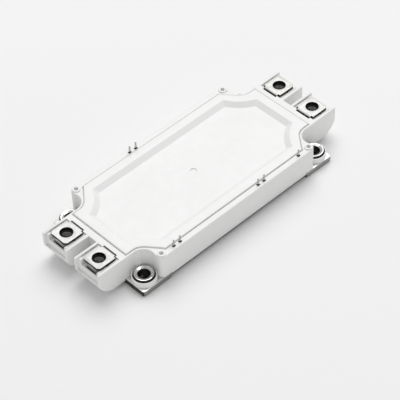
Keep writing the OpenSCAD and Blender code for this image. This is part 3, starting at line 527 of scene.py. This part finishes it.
class BuildHousing(bpy.types.Operator):
    """Moulded frame: a merged copy of its solid with a small radius on every outer edge"""
    bl_idname = "power_module.housing"
    bl_label = "Moulded frame"

    # the cavity: how far it reaches beyond the lid, and how far below the rim its own edges start
    CAVITY_OUT, CAVITY_DOWN = 0.3 * MM, 1 * MM
    # the slits behind the contact plates: half their width about the screw, and the X where they end
    SLIT_HALF, SLIT_END = 6.3 * MM, 69.5 * MM
    # the sinks round the pins: depth below the rim, half their length, the same with their edges, and
    # how far beyond the lid they start and beyond the pin's outer face they end
    SINK_DEEP, SINK_HALF, SINK_EDGE = 1.2 * MM, 0.95 * MM, 1.2 * MM
    SINK_IN, SINK_OUT = 0.1 * MM, 0.5 * MM
    # a sink's walls keep the frame's colour down to the first and carry painted shade below it, and its
    # walls and floor are found within the second
    SINK_LIGHT, SINK_SLACK = 0.2 * MM, 0.05 * MM

    def execute(self, context):
        s = context.scene.module_housing
        boxes = np.array([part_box(node) for node in PINS])
        pins = boxes.mean(axis=1)
        outer_y = np.abs(boxes[:, :, 1]).max()

        def by_pin(p, reach):
            """Points within reach of the middle of a pin, on its long side of the frame."""
            near = (np.abs(p[:, None, 0] - pins[:, 0]) < reach) & (p[:, None, 1] * pins[:, 1] > 0)
            return near.any(axis=1)

        def outside(p):
            """Edges on the outer walls, the rim, the towers and the terminal blocks, not in the cavity,
            at the sinks round the pins or at the slits behind the contact plates."""
            x, y, z = np.abs(p[:, 0]), np.abs(p[:, 1]), p[:, 2]
            cavity = ((x < LID_HIGH.x + self.CAVITY_OUT) & (y < LID_HIGH.y + self.CAVITY_OUT)
                      & (z < RIM_Z - self.CAVITY_DOWN))
            slit = (np.abs(y - SCREW_Y) < self.SLIT_HALF) & (x > LID_HIGH.x) & (x < self.SLIT_END)
            sink = by_pin(p, self.SINK_EDGE) & (y > LID_HIGH.y) & (y < outer_y + self.SINK_OUT)
            return ~(cavity | slit | sink)

        def sink_shade_faces(p, n):
            """Faces that get painted shade: the walls and floors of the sinks round the pins."""
            y, down = np.abs(p[:, 1]), RIM_Z - p[:, 2]
            wall = ((np.abs(n[:, 2]) < 0.5) & (down < self.SINK_DEEP + self.SINK_SLACK)
                    & (down > self.SINK_LIGHT) & (y > LID_HIGH.y + self.SINK_IN)
                    & (y < outer_y + self.SINK_OUT))
            floor = (n[:, 2] > 0.9) & (np.abs(down - self.SINK_DEEP) < self.SINK_SLACK)
            return by_pin(p, self.SINK_HALF) & (wall | floor)

        piece = rounded_copy("frame_moulded", ["housing_frame"], s.edge, "frame_plastic", outside)
        # painted shade: the sinks' walls and floors get a near-black plastic in place of the shade down
        # in them
        paint(piece, moulded_plastic("frame_satin_plastic", s.plastic, s.roughness),
              moulded_plastic("sink_painted_shade", s.sink, 0.6), pick=sink_shade_faces)
        return {"FINISHED"}


class BuildPlate(bpy.types.Operator):
    """Base plate: a copy of its solid with rounded edges, plated above and below, with painted shade
    on its sides: mid grey along the long sides and near black at the ends"""
    bl_idname = "power_module.plate"
    bl_label = "Base plate"

    def execute(self, context):
        s = context.scene.module_metal

        def facing(p, n):
            """1 for faces that look along X, 2 along Y and 0 up or down."""
            return np.where(np.abs(n[:, 0]) > 0.5, 1, np.where(np.abs(n[:, 1]) > 0.5, 2, 0))

        piece = rounded_copy("base_plate_plated", ["base_plate"], s.plate_edge, "plate_metal")
        # painted shade: the ends (1) get near black and the long sides (2) mid grey; the faces above and
        # below (0) keep the plated colour
        paint(piece, plated_metal("plate_nickel", s.plate, 0.34, grain=(1, 6, 1), scale=500),
              painted_shade_metal("plate_end_painted_shade", s.cut, roughness=0.5, metallic=0.75),
              plated_metal("plate_long_side_painted_shade", s.plate_side_shade, 0.38, grain=(1, 1, 5), scale=700),
              pick=facing)
        return {"FINISHED"}


class BuildTerminals(bpy.types.Operator):
    """Terminals: copies of the bent strips with rounded stamped edges, plated faces, and painted shade
    on the cut edges, the steep part of the bends and the upright legs"""
    bl_idname = "power_module.terminals"
    bl_label = "Power terminals"

    # a face whose normal has a smaller upright part than this gets painted shade: the cut edges, the
    # steep part of the bends and the upright legs
    UPRIGHT = 0.75

    def execute(self, context):
        s = context.scene.module_metal
        nickel = plated_metal("terminal_nickel", s.nickel, 0.66, grain=(1, 5, 5), scale=700)
        # painted shade: every steep face of the strips gets the near-black finish
        cut = painted_shade_metal("terminal_painted_shade", s.strip_shade, roughness=0.75, metallic=0.0)
        for node in TERMINALS:
            piece = rounded_copy(node + "_plated", [node], s.strip_edge, "terminal_metal")
            paint(piece, nickel, cut, pick=lambda p, n: np.abs(n[:, 2]) < self.UPRIGHT)
        return {"FINISHED"}


class BuildPins(bpy.types.Operator):
    """Signal pins: a rounded rectangle carried along a path that runs out along the ledge, turns up in
    an arc and climbs to the tip. Half its width and half its thickness are functions of the height: full
    inside the frame, narrower above the sink, and tapered over the last part of the tip"""
    bl_idname = "power_module.pins"
    bl_label = "Signal pins"

    # points round the blade, and the power that makes their circle a square with rounded corners
    SIDES, SQUARENESS = 16, 0.3
    # how far below the rim the pin starts and ends to narrow
    NECK_LOW, NECK_HIGH = 1.6 * MM, 1.1 * MM
    # how much of the width and thickness the tip loses, and the power that curves the loss
    TIP_WIDTH, TIP_THICK, TIP_CURVE = 0.35, 0.7, 1.5

    def shape(self, low, high, s):
        """The pin's rings between the corners of its box, on the +Y side. At angle u a ring's point
        lies half the width x cos u to a small power along X, and half the thickness x sin u to the same
        power across the path."""
        width, thick = (high.x - low.x) / 2, s.pin_inner / 2
        bend, blade, foot_z = s.pin_inner, high.y - thick, low.z + thick
        neck = RIM_Z - self.NECK_LOW
        arc = np.linspace(0, np.pi / 2, 9)[1:]
        climb = np.concatenate([np.linspace(foot_z + bend, neck, 3)[1:],
                                np.linspace(RIM_Z - self.NECK_HIGH, high.z - s.pin_tip, 5),
                                high.z - s.pin_tip * np.array([0.5, 0.12, 0.0])])
        y = np.concatenate([[low.y, blade - bend], blade - bend + bend * np.sin(arc), 0 * climb + blade])
        z = np.concatenate([[foot_z, foot_z], foot_z + bend * (1 - np.cos(arc)), climb])
        lean = np.concatenate([[0, 0], arc, 0 * climb + np.pi / 2])
        above = np.clip((z - neck) / (self.NECK_LOW - self.NECK_HIGH), 0, 1)
        tip = np.clip((z - high.z + s.pin_tip) / s.pin_tip, 0, 1) ** self.TIP_CURVE
        half_w = (width + (s.pin_width / 2 - width) * above) * (1 - self.TIP_WIDTH * tip)
        half_t = (thick + (s.pin_thick / 2 - thick) * above) * (1 - self.TIP_THICK * tip)
        # cos and sin raised to the small power, signs kept
        corner = (np.arange(self.SIDES) + 0.5) * 2 * np.pi / self.SIDES
        a, b = (np.sign(v) * np.abs(v) ** self.SQUARENESS for v in (np.cos(corner), np.sin(corner)))
        across = half_t[:, None] * b
        return np.stack([(low.x + high.x) / 2 + half_w[:, None] * a,
                         y[:, None] - across * np.sin(lean)[:, None],
                         z[:, None] + across * np.cos(lean)[:, None]], axis=-1)

    def execute(self, context):
        s = context.scene.module_metal
        tin = plated_metal("pin_tin", s.tin, 0.3, grain=(1, 1, 0.2), scale=1500)
        for node in PINS:
            low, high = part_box(node)
            near = low.y < 0
            if near:
                low, high = Vector((low.x, -high.y, low.z)), Vector((high.x, -low.y, high.z))
            rings = self.shape(low, high, s)
            rows, cols = rings.shape[:2]
            count = rows * cols
            points = np.concatenate([rings.reshape(-1, 3), [rings[0].mean(0), rings[-1].mean(0)]])
            faces = [wrapped_faces(rows, cols, close_rows=False),
                     pole_faces(0, cols, count, turned=True), pole_faces(count - cols, cols, count + 1)]
            # the rings wind inwards on the +Y side, and the mirror to -Y turns them outwards
            if near:
                points = points * [1, -1, 1]
            else:
                faces = [f[:, ::-1] for f in faces]
            paint(make_piece(node + "_tinned", points, faces, "pin_metal", [node]), tin)
        return {"FINISHED"}


class BuildBushes(bpy.types.Operator):
    """Mounting bushes: a rounded profile of radius and height turned about each mounting hole's axis"""
    bl_idname = "power_module.bushes"
    bl_label = "Mounting bushes"

    # drop of the mouth from the dished seat to the bore, and width of the rim round the lip that gets
    # painted shade
    MOUTH_DROP, DARK_RIM = 0.4 * MM, 0.3 * MM
    # a face whose normal has a smaller upright part than this is a wall
    UPRIGHT = 0.3

    def execute(self, context):
        s = context.scene.module_metal
        outer = (BUSH_HIGH.x - BUSH_LOW.x) / 2
        low, high = BUSH_LOW.z, BUSH_HIGH.z
        lip, seat_z = outer - s.lip, high - s.dish
        corners = [[s.bore, low], [outer, low], [outer, high], [lip, high], [s.mouth, seat_z],
                   [s.bore, seat_z - self.MOUTH_DROP]]
        radii = np.array([0.15, 0.15, 0.3, 0.15, 0.25, 0.3]) * MM
        profile = round_profile(corners, radii, steps=4)
        bright = plated_metal("bush_turned_seat", s.seat, 0.17, grain=(1, 1, 6), scale=600)
        # painted shade: the walls, bores and lip rim get a near-black metal in place of the shade round
        # and inside each bush; the seat keeps its plated colour
        dull = plated_metal("bush_wall_painted_shade", s.wall, 0.35, grain=(1, 1, 6), scale=600)
        grid = lathe(profile, TURNED)
        for node, side in zip(BUSHES, CORNERS):
            place = side * MOUNT

            def is_shaded(p, n):
                """Faces that get painted shade: the walls, the bore and the rim round the lip, not the
                seat.
                """
                radius = np.hypot(*(p[:, :2] - place).T)
                return ((np.abs(n[:, 2]) < self.UPRIGHT) | (p[:, 2] < seat_z)
                        | (radius > outer - self.DARK_RIM))

            piece = make_piece(node + "_turned", grid + np.append(place, 0),
                               [wrapped_faces(len(profile), TURNED, close_rows=True)],
                               "bush_metal", [node])
            paint(piece, bright, dull, pick=is_shaded)
        return {"FINISHED"}


class BuildNuts(bpy.types.Operator):
    """Nuts: a surface over (angle u, walk v). Outside, the radius is half the flats / cos(u to the
    nearest flat), cut back by a 30 degree cone at both ends; inside, it is the bore plus a triangle
    wave of height / pitch - u / one turn, which makes the thread a helix"""
    bl_idname = "power_module.nuts"
    bl_label = "Terminal nuts"

    # size of the countersink, depth of the thread, points along one pitch of it, and how far below the
    # upper face the near-black painted shade reaches
    MOUTH, THREAD_DEEP, PITCH_STEPS, OIL_DOWN = 0.45 * MM, 0.5 * MM, 8, 1.1 * MM
    # share of half the flats that the chamfers leave at the ends
    CHAMFERED = 0.985
    # share of the pitch that is cut flat to either side of a crest and of a root
    CREST = 0.05

    def execute(self, context):
        s = context.scene.module_metal
        half = (NUT_HIGH.z - NUT_LOW.z) / 2
        middle_z = (NUT_HIGH.z + NUT_LOW.z) / 2
        # the nuts stand with two flats across X, so half the X size of one nut is half its flats
        co = np.array([v.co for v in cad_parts["terminal_nuts"].data.vertices])
        one = co[(co > 0).all(1)]
        axis = (one[:, :2].min(0) + one[:, :2].max(0)) / 2
        flats = (one[:, 0].max() - one[:, 0].min()) / 2
        u = np.arange(TURNED)[None, :] * 2 * np.pi / TURNED
        to_flat = (u + np.pi / 6) % (np.pi / 3) - np.pi / 6
        hexagon = flats / np.cos(to_flat)
        shoulder = flats * self.CHAMFERED
        # outside, from the bottom face to the top face
        fall = (hexagon - shoulder) * math.tan(math.radians(30))
        mouth = s.nut_bore + self.MOUTH
        r = [np.full_like(u, mouth), np.full_like(u, shoulder), hexagon, hexagon,
             np.full_like(u, shoulder), np.full_like(u, mouth)]
        z = [0 * u - half, 0 * u - half, fall - half, half - fall, 0 * u + half, 0 * u + half]
        # inside, from the top down: a countersink and then the thread
        reach = half - self.MOUTH
        v = np.linspace(reach, -reach, 1 + round(2 * reach / s.thread * self.PITCH_STEPS))[:, None]
        phase = (v / s.thread - u / (2 * np.pi)) % 1
        wave = np.clip((np.abs(phase - 0.5) - self.CREST) / (0.5 - 2 * self.CREST), 0, 1)
        r = np.concatenate(r + [s.nut_bore + self.THREAD_DEEP * wave])
        z = np.concatenate(z + [v + 0 * u])
        grid = np.stack([axis[0] + r * np.cos(u), axis[1] + r * np.sin(u), middle_z + z], axis=-1)
        # the same nut moved to the four places, so that every thread is right-handed
        sides = np.array([[1, 1], [-1, 1], [-1, -1], [1, -1]])
        places = [np.append((side - 1) * axis, 0) for side in sides]
        verts = np.concatenate([(grid + place).reshape(-1, 3) for place in places])
        quads = wrapped_faces(len(grid), TURNED, close_rows=True)
        faces = np.concatenate([quads + i * len(grid) * TURNED for i in range(len(places))])

        def part_of_nut(p, n):
            """1 for the thread, 2 for what lies near the upper face, both painted shade, 0 for the flats
            and the bottom.
            """
            radius = np.hypot(*(np.abs(p[:, :2]) - axis).T)
            above = p[:, 2] > NUT_HIGH.z - self.OIL_DOWN
            thread = (radius < s.nut_bore + self.THREAD_DEEP) & ~above
            return np.where(thread, 1, np.where(above, 2, 0))

        piece = make_piece("terminal_nuts_threaded", verts, [faces], "nut_steel", ["terminal_nuts"])
        # painted shade: the thread gets a darker metal and the countersink, upper face and top of the
        # bore a near-black one
        paint(piece, plated_metal("nut_zinc", s.zinc, 0.3, grain=(1, 1, 3), scale=900),
              plated_metal("nut_thread_painted_shade", s.thread_shade, 0.14, grain=(1, 1, 3), scale=900),
              painted_shade_metal("nut_face_painted_shade", s.black, roughness=0.5, metallic=0.2), pick=part_of_nut)
        return {"FINISHED"}


class PaintInside(bpy.types.Operator):
    """Finishes of the sealed inner pieces, which keep their solids"""
    bl_idname = "power_module.inside"
    bl_label = "Inner pieces"

    def execute(self, context):
        bond = inner_finish("bond_wire_aluminium", (0.80, 0.81, 0.82), 0.28, 1500, metallic=1.0)
        copper = inner_finish("etched_copper", (0.83, 0.47, 0.32), 0.38, 500, metallic=1.0)
        # by the first letters of the nodes' names
        finishes = {
            "base_seal": inner_finish("seal_silicone", (0.62, 0.62, 0.60), 0.5, 400, depth=0.03 * MM),
            "substrate_solder": inner_finish("solder_grey", (0.55, 0.55, 0.54), 0.45, 700,
                                             metallic=1.0, depth=0.02 * MM),
            "substrate_back": copper,
            "substrate_conductors": copper,
            "substrate_ceramic": inner_finish("ceramic_white", (0.86, 0.85, 0.81), 0.6, 900),
            "transistor": inner_finish("silicon_transistor", (0.18, 0.18, 0.20), 0.22, 800,
                                       metallic=0.6, depth=0.004 * MM),
            "diode": inner_finish("silicon_diode", (0.24, 0.25, 0.28), 0.22, 800,
                                  metallic=0.6, depth=0.004 * MM),
            "chip_wires": bond,
            "link_wires": bond,
            "terminal_wires": bond,
            "pin_wires": bond,
            "thermistor": inner_finish("sensor_ceramic", (0.30, 0.29, 0.27), 0.5, 1200),
            "potting_gel": inner_finish("clear_gel", (0.93, 0.94, 0.95), 0.08, 60, depth=0.02 * MM,
                                        Transmission_Weight=1.0, IOR=1.41),
        }
        for name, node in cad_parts.items():
            for start, finish in finishes.items():
                if name.startswith(start):
                    paint(node, finish)
        return {"FINISHED"}


class BuildStage(bpy.types.Operator):
    """Stage: pale floor, light from all round, a large soft panel above and behind, a small one low in
    front, and the camera"""
    bl_idname = "power_module.stage"
    bl_label = "Stage"

    # half the floor's side, and its drop below the module's feet, so that the two never share a plane
    FLOOR_HALF, FLOOR_DROP = 4.0, 0.05 * MM
    # places and sides of the two panels, which look at the middle
    OVERHEAD, OVERHEAD_SIZE = (1.17, 0.91, 2.6), (2.4, 2.4)
    LOW, LOW_SIZE = (-1.8, -2.4, 0.4), (2.0, 0.8)
    # the photograph's camera: its place, where it looks, and its right-hand side
    EYE = (-0.3767, -0.4219, 0.5738)
    AHEAD = (0.4677, 0.5194, -0.7152)
    RIGHT = (0.7192, -0.694, -0.0336)

    def execute(self, context):
        scene = context.scene
        s = scene.module_stage
        mesh = bpy.data.meshes.new("floor")
        far = self.FLOOR_HALF
        mesh.from_pydata([(-far, -far, 0), (far, -far, 0), (far, far, 0), (-far, far, 0)], [],
                         [(0, 1, 2, 3)])
        floor = bpy.data.objects.new("floor", mesh)
        scene.collection.objects.link(floor)
        paper = Finish("floor_paper", s.floor, 0.9)
        paper.relief(paper.noise(300, detail=2), depth=0.02 * MM, strength=0.2)
        mesh.materials.append(paper.material)
        mesh.transform(Matrix.Translation((0, 0, -self.FLOOR_DROP)))

        world = bpy.data.worlds.new("studio")
        world.use_nodes = True
        world.node_tree.nodes["Background"].inputs["Color"].default_value = (1, 1, 1, 1)
        world.node_tree.nodes["Background"].inputs["Strength"].default_value = s.sky
        scene.world = world

        for name, place, sides, power in (
                ("overhead_panel", self.OVERHEAD, self.OVERHEAD_SIZE, s.panel),
                ("low_panel", self.LOW, self.LOW_SIZE, s.fill)):
            light = bpy.data.lights.new(name, "AREA")
            light.shape = "RECTANGLE"
            light.size, light.size_y = sides
            light.energy = power
            lamp = bpy.data.objects.new(name, light)
            scene.collection.objects.link(lamp)
            lamp.location = place
            lamp.rotation_euler = (-Vector(place)).to_track_quat("-Z", "Y").to_euler()

        camera = bpy.data.cameras.new("camera")
        camera.lens = s.lens
        camera.sensor_width = 36
        camera.clip_start = 0.05
        camera.clip_end = 10
        eye = bpy.data.objects.new("camera", camera)
        scene.collection.objects.link(eye)
        ahead = Vector(self.AHEAD).normalized()
        right = Vector(self.RIGHT)
        right = (right - ahead * right.dot(ahead)).normalized()
        turn = Matrix((right, right.cross(ahead), -ahead)).transposed().to_4x4()
        eye.matrix_world = Matrix.Translation(self.EYE) @ turn
        scene.camera = eye
        scene.view_settings.view_transform = "Standard"
        return {"FINISHED"}


OPERATORS = [BuildHousing, BuildLid, BuildPlate, BuildTerminals, BuildPins, BuildBushes, BuildNuts,
             PaintInside, BuildStage]
GROUPS = {"module_housing": ModuleHousing, "module_lid": ModuleLid, "module_metal": ModuleMetal,
          "module_stage": ModuleStage}


class ModulePanel(bpy.types.Panel):
    """Lists the pieces and their sizes in the 3D view's sidebar"""
    bl_idname = "VIEW3D_PT_power_module"
    bl_label = "Power module"
    bl_space_type = "VIEW_3D"
    bl_region_type = "UI"
    bl_category = "Power module"

    def draw(self, context):
        for operator in OPERATORS:
            self.layout.operator(operator.bl_idname)
        for name, group in GROUPS.items():
            box = self.layout.box()
            for key in group.__annotations__:
                box.prop(getattr(context.scene, name), key)


def register():
    """Makes the groups, operators and panel known, and gives the scene its groups of sizes."""
    for cls in [*GROUPS.values(), *OPERATORS, ModulePanel]:
        bpy.utils.register_class(cls)
    for name, group in GROUPS.items():
        setattr(bpy.types.Scene, name, bpy.props.PointerProperty(type=group))


def unregister():
    """Takes back what register did, in reverse."""
    for name in GROUPS:
        delattr(bpy.types.Scene, name)
    for cls in reversed([*GROUPS.values(), *OPERATORS, ModulePanel]):
        bpy.utils.unregister_class(cls)


def main():
    register()
    for operator in OPERATORS:
        group, name = operator.bl_idname.split(".")
        getattr(getattr(bpy.ops, group), name)()


if __name__ == "__main__":
    main()
